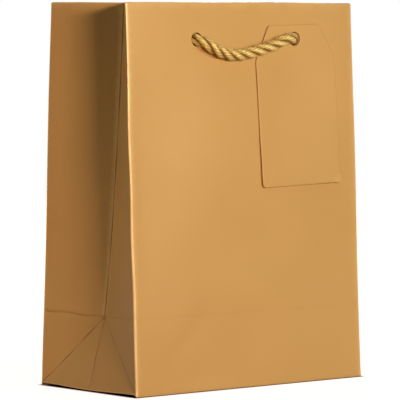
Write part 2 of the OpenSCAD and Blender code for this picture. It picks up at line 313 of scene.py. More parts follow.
def smoothPath(points, step):
    # even points along one smooth curve through the given ones
    pts = np.array(points, float)
    knots = np.concatenate([[0], np.cumsum(np.linalg.norm(np.diff(pts, axis=0), axis=1) ** 0.5)])
    extended = np.vstack([2 * pts[0] - pts[1], pts, 2 * pts[-1] - pts[-2]])
    stretch = np.concatenate([[-knots[1]], knots, [2 * knots[-1] - knots[-2]]])
    fine = []
    for i in range(1, len(extended) - 2):
        p0, p1, p2, p3 = extended[i - 1:i + 3]
        t0, t1, t2, t3 = stretch[i - 1:i + 3]
        for t in np.linspace(t1, t2, 16, endpoint=False):
            a1 = between(t, t0, t1, p0, p1)
            a2 = between(t, t1, t2, p1, p2)
            a3 = between(t, t2, t3, p2, p3)
            b1 = between(t, t0, t2, a1, a2)
            b2 = between(t, t1, t3, a2, a3)
            fine.append(between(t, t1, t2, b1, b2))
    return evenly(np.vstack([fine, pts[-1]]), step)


def bend(start, along, centreWay, radius, angle):
    return [start + radius * (along * math.sin(t) + centreWay * (1 - math.cos(t)))
            for t in np.linspace(0, angle, 9)]


def throughHole(sign, loopPoint):
    # the cord slants through its hole, so that both of its bends stay easy
    hole = np.array([sign * (holeHalf - cordStyle["holeIn"]),
                     cordStyle["holeUp"] + cordStyle["holeUneven"] * sign, -cordStyle["holeBack"]])
    toward = np.array([loopPoint[0] - hole[0], loopPoint[1], 0])
    toward = toward / np.linalg.norm(toward)
    straightOut = np.array([0, 0, 1.0])
    slant = 1 - (loopOff + cordStyle["holeBack"]) / cordStyle["frontBend"]
    rise = math.sqrt(1 - slant ** 2)
    outside = bend(hole, toward * slant + straightOut * rise,
                   toward * rise - straightOut * slant, cordStyle["frontBend"], math.acos(slant))
    along = -(toward * slant + straightOut * rise)
    down = np.array([0, -1.0, 0])
    angle = math.acos(float(down @ along))
    centreWay = (down - along * math.cos(angle)) / math.sin(angle)
    inside = bend(hole, along, centreWay, cordStyle["backBend"], angle)
    foot = inside[-1]
    tail = []
    for up, out in cordStyle["tail"]:  # up the panel and out of it
        settle = rampTo((foot[1] - up) / cordStyle["tailSettle"])
        tail.append(np.array([foot[0] + (hole[0] - foot[0]) * settle, up,
                              foot[2] + (out - foot[2]) * settle]))
    return tail[::-1] + inside[:0:-1] + outside


def cordPath(side):
    # knot, up the left tail, out through the hole, along the loop and back in to the other knot
    loop = cordStyle["loop"]  # along the panel and up it
    middle = [np.array([x, up, loopOff]) for x, up in loop[1:-1]]
    points = throughHole(-1, loop[0]) + middle + throughHole(1, loop[-1])[::-1]
    return smoothPath([panelToFrame(*p, side=side) for p in points], cordStyle["pathStep"])


def strandTree():
    # strands laid round the path, each a tube that carries its place for the yarn pattern
    tree = bpy.data.node_groups.new("twisted_cord", "GeometryNodeTree")
    face = tree.interface
    face.new_socket("Geometry", in_out="INPUT", socket_type="NodeSocketGeometry")
    names = {}
    for label, kind in (("Lay Length", "Float"), ("Strand Radius", "Float"),
                        ("Strand Offset", "Float"), ("Step", "Float"), ("Sides", "Int"),
                        ("Yarns", "Float"), ("Yarn Lay", "Float"), ("Material", "Material")):
        names[label] = face.new_socket(label, in_out="INPUT",
                                       socket_type="NodeSocket" + kind).identifier
    face.new_socket("Geometry", in_out="OUTPUT", socket_type="NodeSocketGeometry")
    source = addNode(tree, "NodeGroupInput")
    even = addNode(tree, "GeometryNodeResampleCurve",
        {"Curve": (source, "Geometry"), "Length": (source, "Step")}, mode="LENGTH")
    place = addNode(tree, "GeometryNodeSplineParameter")
    tangent = addNode(tree, "GeometryNodeInputTangent")
    normal = addNode(tree, "GeometryNodeInputNormal")
    across = addNode(tree, "VectorMath", {0: tangent, 1: normal}, operation="CROSS_PRODUCT")
    turns = addNode(tree, "Math", {0: (place, "Length"), 1: (source, "Lay Length")},
        operation="DIVIDE")
    join = addNode(tree, "GeometryNodeJoinGeometry")
    for k in range(cordStyle["strands"]):
        phase = addNode(tree, "Math", {0: turns, 1: k / cordStyle["strands"]}, operation="ADD")
        angle = addNode(tree, "Math", {0: phase, 1: 2 * math.pi}, operation="MULTIPLY")
        swings = []
        for operation, way in (("COSINE", normal), ("SINE", across)):
            share = addNode(tree, "Math", {0: angle}, operation=operation)
            swings.append(addNode(tree, "VectorMath", {0: way, "Scale": share}, operation="SCALE"))
        both = addNode(tree, "VectorMath", {0: swings[0], 1: swings[1]}, operation="ADD")
        shift = addNode(tree, "VectorMath", {0: both, "Scale": (source, "Strand Offset")},
            operation="SCALE")
        outward = addNode(tree, "GeometryNodeCaptureAttribute", {"Geometry": even})
        outward.capture_items.new("VECTOR", "Outward")
        outward.capture_items.new("FLOAT", "Along")
        tree.links.new(both.outputs["Vector"], outward.inputs[1])
        tree.links.new(place.outputs["Length"], outward.inputs[2])
        moved = addNode(tree, "GeometryNodeSetPosition", {"Geometry": outward, "Offset": shift})
        circle = addNode(tree, "GeometryNodeCurvePrimitiveCircle",
            {"Resolution": (source, "Sides"), "Radius": (source, "Strand Radius")})
        circlePlace = addNode(tree, "GeometryNodeSplineParameter")
        around = addNode(tree, "GeometryNodeCaptureAttribute", {"Geometry": circle})
        around.capture_items.new("FLOAT", "Around")
        tree.links.new(circlePlace.outputs["Factor"], around.inputs[1])
        tube = addNode(tree, "GeometryNodeCurveToMesh",
            {"Curve": moved, "Profile Curve": around, "Fill Caps": True})
        # how far each face turns outwards, for the painted shade in the grooves and the painted
        # highlight on the crowns
        faceNormal = addNode(tree, "GeometryNodeInputNormal")
        facing = addNode(tree, "VectorMath", {0: faceNormal, 1: (outward, "Outward")},
            operation="DOT_PRODUCT")
        depth = addNode(tree, "Math", {0: (facing, "Value"), 1: 0.5, 2: 0.5},
            operation="MULTIPLY_ADD")
        yarnAlong = addNode(tree, "Math", {0: (outward, "Along"), 1: (source, "Yarn Lay")},
            operation="DIVIDE")
        yarnSlant = addNode(tree, "Math", {0: yarnAlong, 1: (source, "Yarns")},
            operation="MULTIPLY")
        yarnTurns = addNode(tree, "Math", {0: (around, "Around"), 1: (source, "Yarns")},
            operation="MULTIPLY")
        stored = addNode(tree, "CombineXYZ", {0: yarnSlant, 1: yarnTurns, 2: depth})
        kept = addNode(tree, "GeometryNodeStoreNamedAttribute",
            {"Geometry": tube, "Name": "strand", "Value": stored}, data_type="FLOAT_VECTOR")
        tree.links.new(kept.outputs["Geometry"], join.inputs["Geometry"])
    real = addNode(tree, "GeometryNodeRealizeInstances", {"Geometry": join})
    smooth = addNode(tree, "GeometryNodeSetShadeSmooth", {"Geometry": real})
    dressed = addNode(tree, "GeometryNodeSetMaterial",
        {"Geometry": smooth, "Material": (source, "Material")})
    addNode(tree, "NodeGroupOutput", {"Geometry": dressed})
    return tree, names


cordTree, cordInputs = strandTree()


def laidCord(name, path):
    # a poly curve along the path, dressed by the tree and turned into a plain mesh
    curve = bpy.data.curves.new(name + "_path", "CURVE")
    curve.dimensions = "3D"
    spline = curve.splines.new("POLY")
    spline.points.add(len(path) - 1)
    for point, place in zip(spline.points, path):
        point.co = (*(place * mm), 1.0)
    carrier = addObject(name + "_path", curve)
    layer = carrier.modifiers.new("strands", "NODES")
    layer.node_group = cordTree
    values = {"Lay Length": cordStyle["lay"] * mm, "Strand Radius": cordStyle["strandR"] * mm,
              "Strand Offset": cordStyle["strandOut"] * mm, "Step": cordStyle["stepMm"] * mm,
              "Sides": cordStyle["sides"], "Yarns": cordStyle["yarns"],
              "Yarn Lay": cordStyle["yarnLay"] * mm, "Material": goldCord}
    for label, value in values.items():
        layer[cordInputs[label]] = value
    bpy.context.view_layer.update()
    graph = bpy.context.evaluated_depsgraph_get()
    mesh = bpy.data.meshes.new_from_object(carrier.evaluated_get(graph))
    bpy.data.objects.remove(carrier)
    return addObject(name, mesh)


def knotPath(start):
    # tight wraps of the cord round itself, then the cut end hanging out below
    style = knotStyle
    points = []
    for k in range(style["points"] + 1):
        t = k / style["points"]
        wound = np.clip((t - style["neck"]) / style["wound"], 0, 1)
        angle = 2 * math.pi * style["wraps"] * wound
        radius = (style["wrapR"] * rampTo((t - style["openFrom"]) / style["openOver"])
                  * rampTo((style["closeTo"] - t) / style["closeOver"]))
        fall = style["neckMm"] * min(t, style["neck"]) / style["neck"] + style["woundMm"] * wound
        last = 1 - style["neck"] - style["wound"]
        fall += style["endMm"] * np.clip((t - 1 + last) / last, 0, 1)
        points.append(start + np.array([radius * math.cos(angle), radius * math.sin(angle), -fall]))
    return smoothPath(points, style["pathStep"])


def pathLength(path):
    return float(np.linalg.norm(np.diff(path, axis=0), axis=1).sum())


def cutCord(whole, name, first, last):
    # the stretch of a laid cord between two lengths along it, cut so that its strands run on
    mesh = whole.data.copy()
    work = bmesh.new()
    work.from_mesh(mesh)
    place = work.verts.layers.float_vector["strand"]
    perMm = cordStyle["yarns"] / cordStyle["yarnLay"]
    gone = [f for f in work.faces
            if not first <= sum(v[place][0] for v in f.verts) / len(f.verts) / perMm < last]
    bmesh.ops.delete(work, geom=gone, context="FACES")
    work.to_mesh(mesh)
    work.free()
    return addObject(name, mesh)


for side, word in ((-1, "front"), (1, "back")):
    path = cordPath(side)
    whole = laidCord(f"{word}_cord", path)
    half = len(path) // 2
    middle = pathLength(path[:half + 1])
    for end, sign, run, part in (("left", -1, path[half::-1], (-1, middle)),
                                 ("right", 1, path[half:], (middle, math.inf))):
        cord = cutCord(whole, f"{word}_{end}_cord", *part)
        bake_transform(cord)
        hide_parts(f"{word}_handle_{end}_tail")
        knot = laidCord(f"{word}_{end}_knot", knotPath(run[-1]))
        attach(knot, "bag")
        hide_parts(f"{word}_handle_{end}_knot")
    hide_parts(f"{word}_handle_loop")
    bpy.data.objects.remove(whole)
    print(f"{word} cord laid, {pathLength(path):.0f} mm between its knots")


# millimetres, but for the counts: a wave is its height, its runs across and up, and its phase;
# a swell is its height, its place and size up the panel, then the same across it; frontFold is how
# far the fold strays sideways, where and over what height; mouthWave is a place round and a rise
paperStyle = {
    "creaseR": 0.65, "cornerR": 1.45, "spacing": 3.0, "step": 2.6, "clearance": 1.3,
    "holeR": 3.25, "holeRings": (3.25, 3.55, 4.2, 5.4), "archH": 0.7, "archRun": 2.2,
    "archSteps": 8, "panelDepth": 1.42, "gussetDepth": 0.66, "turnInEdge": 2.3,
    "turnInBulge": 0.15, "flapOver": 7.0, "bottomLift": 1.1, "under": 0.9,
    "cornerGap": 0.74, "mouthDip": 0.6, "normalStep": 0.15, "wanderOver": 7.0,
    "waves": [(0.12, 19, 41, 0), (0.08, 11, -27, 1.3)],
    "bulge": 0.9, "bulgeSide": 55, "bulgeLow": 40, "bulgeHigh": 60,
    "swells": [(0.3, 20, 12, 35, 18), (0.25, 46, 10, 0, 22)],
    "frontFold": [(0.1, 157, 14), (-0.4, 120, 16), (-0.3, 73, 13), (0.2, 44, 12)],
    "mouthWave": [(0, 0), (95, 0), (135, -0.4), (142, -0.3), (160, 0.35), (176, 0.6),
                  (211, 0.4), (260, 0.3), (320, 0), (351, 0), (368, 0.35), (386, 0.55),
                  (404, 0.35), (422, 0)]}
diagonal = 1.414  # a 45 degree line that is moved off by 1 lies this much higher
aroundHalf = bagW + bagD  # one panel and one gusset
meetDip = meetS * (math.cos(lean) - math.tan(math.pi / 4 - lean / 2))


def sheetObject(name, points, faces, front, thickness):
    # paper or card: a mesh of its outer face, thickened towards its white back, with a cut edge
    mesh = bpy.data.meshes.new(name)
    mesh.from_pydata([tuple(p * mm) for p in points], [], [tuple(int(v) for v in f) for f in faces])
    for material in (front, paperWhite, cutEdge):
        mesh.materials.append(material)
    mesh.shade_smooth()
    mesh.update()
    obj = addObject(name, mesh)
    layer = obj.modifiers.new("paper", "SOLIDIFY")
    layer.thickness = thickness * mm
    layer.offset = -1
    layer.material_offset = 1
    layer.material_offset_rim = 2
    return obj


def gridFaces(rows, columns):
    return [(r * columns + c, r * columns + c + 1, (r + 1) * columns + c + 1, (r + 1) * columns + c)
            for r in range(rows - 1) for c in range(columns - 1)]


def sheetPlace(u):
    # place on one panel and its gusset, whether on the panel, and the place across the gusset,
    # from its first edge and from its nearer one
    v = np.mod(u, aroundHalf)
    q = np.where(v < bagW, 0, v - bagW)
    return v, v < bagW, q, np.minimum(q, bagD - q)


def toFold(v):
    # distance to the nearest of the upright folds at the corners
    return np.minimum(np.minimum(v, aroundHalf - v), np.abs(v - bagW))


def halfOut(s):
    return bagD / 2 - s * math.sin(lean)


def foldIn(s):
    # the gusset paper keeps its width, so a narrower mouth pushes its middle crease inwards
    dip = meetDip + (paperStyle["mouthDip"] - meetDip) * (s - meetS) / (bagH - meetS)
    return np.sqrt(np.maximum(meetS ** 2 - halfOut(s) ** 2 - dip ** 2, 0)), dip


def gussetShape(w, s):
    # inward distance, half gap and height of the point w from a panel edge and s up the paper
    su = np.maximum(s, meetS)
    k = w / meetS
    inMiddle, dip = foldIn(su)
    meetIn, meetDrop = foldIn(np.array(meetS))
    meetZ = meetS * math.cos(lean) - meetDrop
    sl = np.clip(s, 0, meetS)
    corner = w <= sl
    a = np.abs(sl - w) / meetS
    b = np.minimum(w, sl) / meetS
    halfLow = np.where(corner, bagD / 2 + a * (halfOut(meetS) - bagD / 2) - b * bagD / 2,
                       bagD / 2 * (1 - a - b))
    zLow = np.where(corner, a * meetS * math.cos(lean), 0) + b * meetZ
    upper = s >= meetS
    arch = 0.35 + 0.65 * np.cos(math.pi / 2 * np.clip(w / meetS, 0, 1)) ** 2
    lift = (paperStyle["bottomLift"] * arch * rampTo(w / 1.6)
            * np.clip(1 - np.maximum(s, 0) / 7, 0, 1))
    inward = np.where(upper, k * inMiddle, np.where(s < 0, -s, b * meetIn))
    half = np.where(upper, (1 - k) * halfOut(su), np.where(s < 0, bagD / 2 - w, halfLow))
    z = np.where(upper, su * math.cos(lean) - k * dip, np.where(s < 0, 0, zLow))
    return inward, half, z + lift


def foldedSheet(u, s):
    # u runs round the bag: front from 0, right gusset, back, left gusset; s runs up the paper
    v, onPanel, q, w = sheetPlace(u)
    secondHalf = np.mod(u, 2 * aroundHalf) >= aroundHalf
    reach = bagD / 2 + paperStyle["flapOver"]
    step = np.where(secondHalf, rampTo((-s - bagD + reach - 1) / 1.5), 0) * (paperT + 0.02)
    yPanel = -(bagD / 2 + np.where(s < 0, s, -s * math.sin(lean)))
    zPanel = np.where(s < 0, step, s * math.cos(lean))
    inward, half, zGusset = gussetShape(w, s)
    x = np.where(onPanel, v - bagW / 2, bagW / 2 - inward)
    y = np.where(onPanel, yPanel, np.where(q <= bagD / 2, -half, half))
    z = np.where(onPanel, zPanel, zGusset)
    flip = np.where(secondHalf, -1.0, 1.0)  # the second half is the first, turned round
    return np.stack([x * flip, y * flip, z], axis=-1)


def roundedSheet(u, s):
    # averaging the folded sheet over a small disc rounds every crease at once
    soft = (paperStyle["cornerR"] - paperStyle["creaseR"]) * rampTo((s + 1) / 6)
    reach = paperStyle["creaseR"] + soft * rampTo((5 - toFold(np.mod(u, aroundHalf))) / 3)
    total, weight = foldedSheet(u, s), 1.0
    for radius, count, share in ((0.5, 6, 0.8), (1.0, 8, 0.35)):
        for k in range(count):
            turnBy = 2 * math.pi * (k + 0.5) / count
            du = reach * radius * math.cos(turnBy) * np.clip(1 + s / 0.4, 0, 1)
            ds = paperStyle["creaseR"] * radius * math.sin(turnBy)
            total = total + share * foldedSheet(u + du, s + ds)
            weight += share
    return total / weight


def outwardNormal(u, s):
    step = paperStyle["normalStep"]
    du = roundedSheet(u + step, s) - roundedSheet(u - step, s)
    ds = roundedSheet(u, s + step) - roundedSheet(u, s - step)
    n = np.cross(du, ds)
    return n / np.maximum(np.linalg.norm(n, axis=-1, keepdims=True), 1e-9)


def handling(u, s):
    # how far the paper stands off its ideal folds: slight waves, dents and pressed creases
    v, onPanel, q, w = sheetPlace(u)
    isFront = np.mod(u, 2 * aroundHalf) < bagW
    across = v - bagW / 2
    side, low, high = (paperStyle[k] for k in ("bulgeSide", "bulgeLow", "bulgeHigh"))
    waves = sum(height * np.sin(across / x + s / up + phase)
                for height, x, up, phase in paperStyle["waves"])
    waves = waves + (paperStyle["bulge"] * rampTo((across + bagW / 2) / side)
                     * rampTo((bagW / 2 - across) / side)
                     * rampTo(s / low) * rampTo((bagH - s) / high))
    dent = -0.25 * bell(across + 36 - (s - 27) * 0.8, 7) * bell(s - 26, 14)
    swell = sum(height * bell(s - up, tall) * bell(across - x, wide)
                for height, up, tall, x, wide in paperStyle["swells"])
    inside = rampTo((bagW / 2 - np.abs(across) - 0.5) / 8) * rampTo((s - 1) / 6)
    panel = (waves + (dent + swell) * isFront) * inside
    panel = panel - 0.02 * bell(s - meetS + 0.4 * np.sin(across / 9), 1.0)
    below = s < meetS
    pressed = -0.22 * bell(w - meetS, 0.4) * below * rampTo((s - 0.5) / 2)
    pressed = pressed - 0.15 * bell(s - meetS, 0.45) * rampTo(w / 3)
    gusset = 0.10 * np.sin(w / 8 + s / 30) * rampTo((w - 1) / 5) * rampTo((meetS - w) / 5)
    return np.where(onPanel, panel, gusset * ~below + pressed)


def foldWander(u, s):
    # the long folds at the corners are not quite straight
    isFrontLeft = np.mod(u + bagD / 2, 2 * aroundHalf) < (bagD + bagW) / 2
    own = sum(sideways * bell(s - up, tall) for sideways, up, tall in paperStyle["frontFold"])
    other = 0.2 * np.sin(s / 21 + u / 50)
    near = bell(toFold(np.mod(u, aroundHalf)), paperStyle["wanderOver"])
    return np.where(isFrontLeft, own, other) * near * rampTo(s / 10)


def paperPoint(u, s, most=math.inf):
    p = roundedSheet(u, s) + outwardNormal(u, s) * np.minimum(handling(u, s), most)[..., None]
    p[..., 0] += foldWander(u, s)
    return p


def innerPoint(u, s):
    # the turned-in layer, which cuts across the corners between a panel and a gusset
    edgeP, edgeG = cardInset, paperStyle["turnInEdge"]
    v = np.mod(u, aroundHalf)
    base = u - v
    lowU, highU = u, u
    for there, corner, before, after in (
            ((v > bagW - edgeP) & (v < bagW + edgeG), base + bagW, edgeP, edgeG),
            (v > aroundHalf - edgeG, base + aroundHalf, edgeG, edgeP),
            (v < edgeP, base, edgeG, edgeP)):
        lowU = np.where(there, corner - before, lowU)
        highU = np.where(there, corner + after, highU)
    ends = []
    for place in (lowU, highU):
        onPanel = np.mod(place, aroundHalf) < bagW
        depth = np.where(onPanel, paperStyle["panelDepth"], paperStyle["gussetDepth"])
        # it lies on the mouth card, which stays flat where the panel bulges
        on = paperPoint(place, s, paperStyle["turnInBulge"])
        ends.append(on - outwardNormal(place, s) * depth[..., None])
    share = ((u - lowU) / np.maximum(highU - lowU, 1e-6))[..., None]
    return ends[0] * (1 - share) + ends[1] * share


def creaseShadeMark(u, s):
    # painted shade: 1 in the middle of a hard-pressed crease, 0 a little way from it, and faint
    # across the panels where the gusset creases meet
    v, onPanel, q, w = sheetPlace(u)
    rear = np.where(np.mod(u, 2 * aroundHalf) < aroundHalf, q > bagD / 2, q < bagD / 2)
    inGusset = (v > bagW) & (w > 0.6)
    low = (s < meetS) & (s > 0)
    uneven = 0.75 + 0.25 * np.sin(s / 5 + w / 3)
    middle = (tent(w - meetS, np.where(low, 0.5, 0.62))
              * np.where(low, 0.42 * np.clip(s / 14, 0.3, 1), 0.95))
    level = tent(s - meetS + 0.25 * np.sin(w / 3), 0.45) * np.where(rear, 0.6, 0.12)
    slant = tent((s - w) / diagonal, 0.5) * low * np.where(rear, 0.9, 0.35)
    mark = np.maximum(np.maximum(middle, level), slant) * inGusset * uneven
    panel = tent(s - meetS, 0.6) * 0.04 * onPanel
    return np.maximum(mark, panel) * (s < bagH)


def wearAndHighlightMark(u, s):
    # 1 where the film is pale, partly worn and partly a painted highlight: along the four upright
    # folds, the mouth and the base, with a painted highlight just beside each gusset's middle crease
    v, onPanel, _, w = sheetPlace(u)
    along = (tent(toFold(v), np.where(onPanel, 1.7, 0.9))
             * (0.85 + 0.15 * np.sin(s / 13 + u / 40) ** 2))
    # painted highlight: a thin pale line just beside the gusset's middle crease, above where the
    # creases meet
    ridgeHighlight = 0.3 * tent(w - meetS + 0.9, 0.5) * (s > meetS)
    mouth = tent(s - bagH, 0.9) * 0.5
    base = tent(s, 0.8) * 0.35
    upright = np.maximum(along, ridgeHighlight) * (s > 0) * (s < bagH)
    return np.maximum(np.maximum(upright, mouth), base)


def bagPoint(u, s):
    # up the outside, over the mouth in a small arch and down the inside
    arch = bagH - paperStyle["archH"]
    over = s - arch
    down = np.maximum(over - paperStyle["archRun"], 0)
    level = np.minimum(s, arch) - down
    angle = np.clip(over / paperStyle["archRun"], 0, 1) * math.pi
    share = ((1 - np.cos(angle)) / 2)[..., None]
    outer, inner = paperPoint(u, level), innerPoint(u, level)
    p = outer * (1 - share) + inner * share
    mouth = rampTo((level - bagH + 25) / 25)
    wave = np.interp(np.mod(u, 2 * aroundHalf), *zip(*paperStyle["mouthWave"]))
    p[..., 2] += np.sin(angle) * paperStyle["archH"] + mouth * (wave + 0.06 * np.sin(u / 15 + 0.5))
    return p


def straight(a, b, step):
    a, b = np.array(a, float), np.array(b, float)
    return np.linspace(a, b, max(1, round(float(np.linalg.norm(b - a)) / step)) + 1)


def ring(centre, radius, count):
    t = np.linspace(0, 2 * math.pi, count + 1)
    return np.stack([centre[0] + radius * np.cos(t), centre[1] + radius * np.sin(t)], axis=1)


def cutSheet(lines, spacing, clearance, keep):
    # flat sheet in triangles that follow every given line, with even points between them
    points, edges = [], []
    for line in lines:
        first = len(points)
        closed = np.allclose(line[0], line[-1])
        points += [tuple(p) for p in (line[:-1] if closed else line)]
        count = len(points) - first
        edges += [(first + i, first + i + 1) for i in range(count - 1)]
        if closed:
            edges.append((first + count - 1, first))
    tree = kdtree.KDTree(len(points))
    for i, (x, y) in enumerate(points):
        tree.insert((x, y, 0), i)
    tree.balance()
    low, high = np.min(points, axis=0), np.max(points, axis=0)
    for row, y in enumerate(np.arange(low[1], high[1], spacing * 0.866)):
        for x in np.arange(low[0] + (row % 2) * spacing / 2, high[0], spacing):
            if tree.find((x, y, 0))[2] > clearance:
                points.append((x, y))
    cut = delaunay_2d_cdt([Vector(p) for p in points], edges, [], 0, 1e-4)
    flat = np.array([tuple(p) for p in cut[0]])
    faces = np.array([tuple(f) for f in cut[2]])
    centre = flat[faces].mean(axis=1)
    faces = faces[keep(centre[:, 0], centre[:, 1])]
    used, faces = np.unique(faces, return_inverse=True)
    flat, faces = flat[used], faces.reshape(-1, 3)
    a, b, c = flat[faces[:, 0]], flat[faces[:, 1]], flat[faces[:, 2]]
    area = (b[:, 0] - a[:, 0]) * (c[:, 1] - a[:, 1]) - (b[:, 1] - a[:, 1]) * (c[:, 0] - a[:, 0])
    faces[area < 0] = faces[area < 0][:, ::-1]
    return flat, faces[np.abs(area) > 1e-7]


def bagHoles():
    # centre of each cord hole on the sheet: both panels, outside and in the turned-in strip
    inside = bagH - paperStyle["archH"] * 2 + paperStyle["archRun"] + (bagH - holeS)
    return [(middle + sign * holeHalf + shift, s)
            for middle, shift in ((bagW / 2, holeMiddle), (bagW / 2 + aroundHalf, -holeMiddle))
            for sign in (-1, 1) for s in (holeS, inside)]


def bagLines(uLow, uHigh, sLow, sEnd):
    # the lines that the sheet's triangles follow: every crease with its rounding, and the flaps
    step, under = paperStyle["step"], paperStyle["under"]
    corner = np.array([-1.5, -1.1, -0.75, -0.4, 0, 0.4, 0.75, 1.1, 1.5])
    fold = np.array([-0.7, -0.45, -0.2, 0, 0.2, 0.45, 0.7])
    soft = np.array([-0.8, -0.4, 0, 0.4, 0.8])
    lines = []
    for u in (-bagD, 0, bagW, aroundHalf):
        lines += [straight((u + d, -under), (u + d, sEnd), step) for d in corner]
    for u in (-bagD / 2, bagW + bagD / 2):
        lines += [straight((u + d, -under), (u + d, sEnd), step) for d in fold]
        for side in (-1, 1):
            for d in soft * diagonal:
                lines.append(straight((u + side * meetS, d), (u, meetS + d), step))
    arch = [bagH - paperStyle["archH"] + paperStyle["archRun"] * k / paperStyle["archSteps"]
            for k in range(paperStyle["archSteps"] + 1)]
    for s in [*soft, *(meetS + soft), *arch, -under, sEnd]:
        lines.append(straight((uLow, s), (uHigh, s), step))
    for u in (uLow, uHigh):
        lines.append(straight((u, sLow), (u, sEnd), step))
    for low, high in ((0, bagW), (uLow, -bagD), (aroundHalf, uHigh)):
        for s in (sLow, sLow + bagD / 2 - 8, sLow + 12.5, sLow + 14.5):
            lines.append(straight((low, s), (high, s), step))
        for u, sign in ((low, 1), (high, -1)):
            if u not in (uLow, uHigh):
                lines.append(straight((u + sign * 0.75, -under), (u + sign * 6.5, -7), step))
                lines.append(straight((u + sign * 6.5, -7), (u + sign * 7.5, sLow), step))
    for centre in bagHoles():
        lines += [ring(mapToRange(centre), r, 32) for r in paperStyle["holeRings"]]
    return lines


def mapToRange(centre):
    # the sheet is cut open down the middle of the back
    u, s = centre
    return (u - 2 * aroundHalf if u > aroundHalf + bagW / 2 else u), s


def makeBag():
    uLow, uHigh = -bagD - bagW / 2, aroundHalf + bagW / 2
    sLow = -bagD / 2 - paperStyle["flapOver"]
    sEnd = bagH - 2 * paperStyle["archH"] + paperStyle["archRun"] + turnInH
    under, gap = paperStyle["under"], paperStyle["cornerGap"]

    def keep(u, s):
        v = np.mod(u, aroundHalf)
        taper = np.interp(-s, (under, 7, -sLow), (gap, 6.5, 7.5))
        onFlap = (v > taper) & (v < bagW - taper)
        good = ((s > -under) | onFlap) & ~((toFold(v) < gap) & (s < -0.1))
        for centre in bagHoles():
            cu, cs = mapToRange(centre)
            good &= (u - cu) ** 2 + (s - cs) ** 2 > (paperStyle["holeR"] * 0.995) ** 2
        return good

    flat, faces = cutSheet(bagLines(uLow, uHigh, sLow, sEnd), paperStyle["spacing"],
                           paperStyle["clearance"], keep)
    # join the two ends of the sheet where they meet
    order = {round(float(s), 3): i for i, (u, s) in enumerate(flat) if abs(u - uLow) < 1e-4}
    joinTo = np.arange(len(flat))
    for i, (u, s) in enumerate(flat):
        if abs(u - uHigh) < 1e-4 and round(float(s), 3) in order:
            joinTo[i] = order[round(float(s), 3)]
    faces = joinTo[faces]
    used, faces = np.unique(faces, return_inverse=True)
    faces = faces.reshape(-1, 3)
    u, s = flat[used, 0], flat[used, 1]
    obj = sheetObject("paper_bag", bagPoint(u, s), faces, goldPaper, paperT)
    # the crease mark is painted shade; the pale mark is partly worn film and partly a painted
    # highlight
    for label, values in (("crease", creaseShadeMark(u, s)), ("rubbed_and_highlight", wearAndHighlightMark(u, s))):
        layer = obj.data.attributes.new(label, "FLOAT", "POINT")
        layer.data.foreach_set("value", values.astype(np.float32))
    print(f"bag sheet folded, {len(faces)} faces")
    return obj


bag = makeBag()
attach(bag, "bag")
gussetNodes = [f"{side}_gusset_{part}" for side in ("left", "right")
               for part in ("upper_front", "upper_back", "corner_front", "corner_back",
                            "base_triangle", "turn_in")]
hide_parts("front_panel", "back_panel", "front_turn_in", "back_turn_in",
            "front_base_flap", "back_base_flap", *gussetNodes)

innerStyle = {
    "lapGap": 0.03, "lapColumns": 9, "lapRows": 60, "flapBack": 5.5, "flapTaper": 6.0,
    "flapLift": 0.02, "flapWave": 0.03, "flapWaves": 4, "flapThinner": 0.06,
    "flapColumns": 16, "flapRows": 24}


def makeLap():
    # the strip of the right gusset that is glued inside the back panel
    low, high = span("side_seam_lap")
    us = np.linspace(aroundHalf + bagW / 2 - high[0], aroundHalf + bagW / 2 - low[0],
                     innerStyle["lapColumns"])
    rows = np.linspace(low[2] / math.cos(lean), high[2] / math.cos(lean), innerStyle["lapRows"])
    u, s = np.meshgrid(us, rows)
    place = paperPoint(u, s) - outwardNormal(u, s) * (paperT + innerStyle["lapGap"])
    return sheetObject("seam_lap", place.reshape(-1, 3), gridFaces(len(rows), len(us)),
                       goldPaper, paperT)


def makeDustFlap(side):
    # the end of a gusset folded in under the board, white on top, a little back from the fold
    low, high = span(f"{side}_dust_flap")
    outer, inner = (high[0], low[0]) if side == "right" else (low[0], high[0])
    outer = outer - innerStyle["flapBack"] * np.sign(outer)
    a, b = np.meshgrid(np.linspace(0, 1, innerStyle["flapColumns"]),
                       np.linspace(-1, 1, innerStyle["flapRows"]))
    x = outer + (inner - outer) * a
    y = b * (high[1] - innerStyle["flapTaper"] * a)
    z = (low[2] + innerStyle["flapLift"]
         + innerStyle["flapWave"] * (1 - a) * np.sin(b * innerStyle["flapWaves"]) ** 2)
    faces = gridFaces(*a.shape)
    if side == "left":
        faces = [f[::-1] for f in faces]
    obj = sheetObject(f"{side}_end_flap", np.stack([x, y, z], axis=-1).reshape(-1, 3), faces,
                      goldPaper, paperT - innerStyle["flapThinner"])
    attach(obj, "bag")
    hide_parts(f"{side}_dust_flap")


for side in ("left", "right"):
    makeDustFlap(side)
lap = makeLap()
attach(lap, "bag")
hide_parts("side_seam_lap")

# about the middle of the tag's hole; a nick is its place and how far the outline steps there
tagStyle = {
    "width": 50.0, "height": 76.0, "cutW": 9.0, "cutH": 16.5, "cornerR": 2.0,
    "holeDrop": 6.7, "turn": 1.5, "thick": 0.4, "gap": 0.45, "edgeRound": 0.16,
    "edgeOver": 0.3, "bottomLift": 0.75, "sideLift": 0.35, "rightLift": 0.3,
    "bentCorner": 0.7, "wave": 0.05, "nickWidth": 0.5, "spacing": 2.0, "clearance": 0.9,
    "edgeRings": (0.12, 0.3, 0.9), "holeRings": (0, 0.12, 0.35, 1.2),
    "nicks": [(-25, -47, -0.45, 0), (-19, -69.3, 0, -0.35), (-9.5, -69.3, 0, -0.2)]}


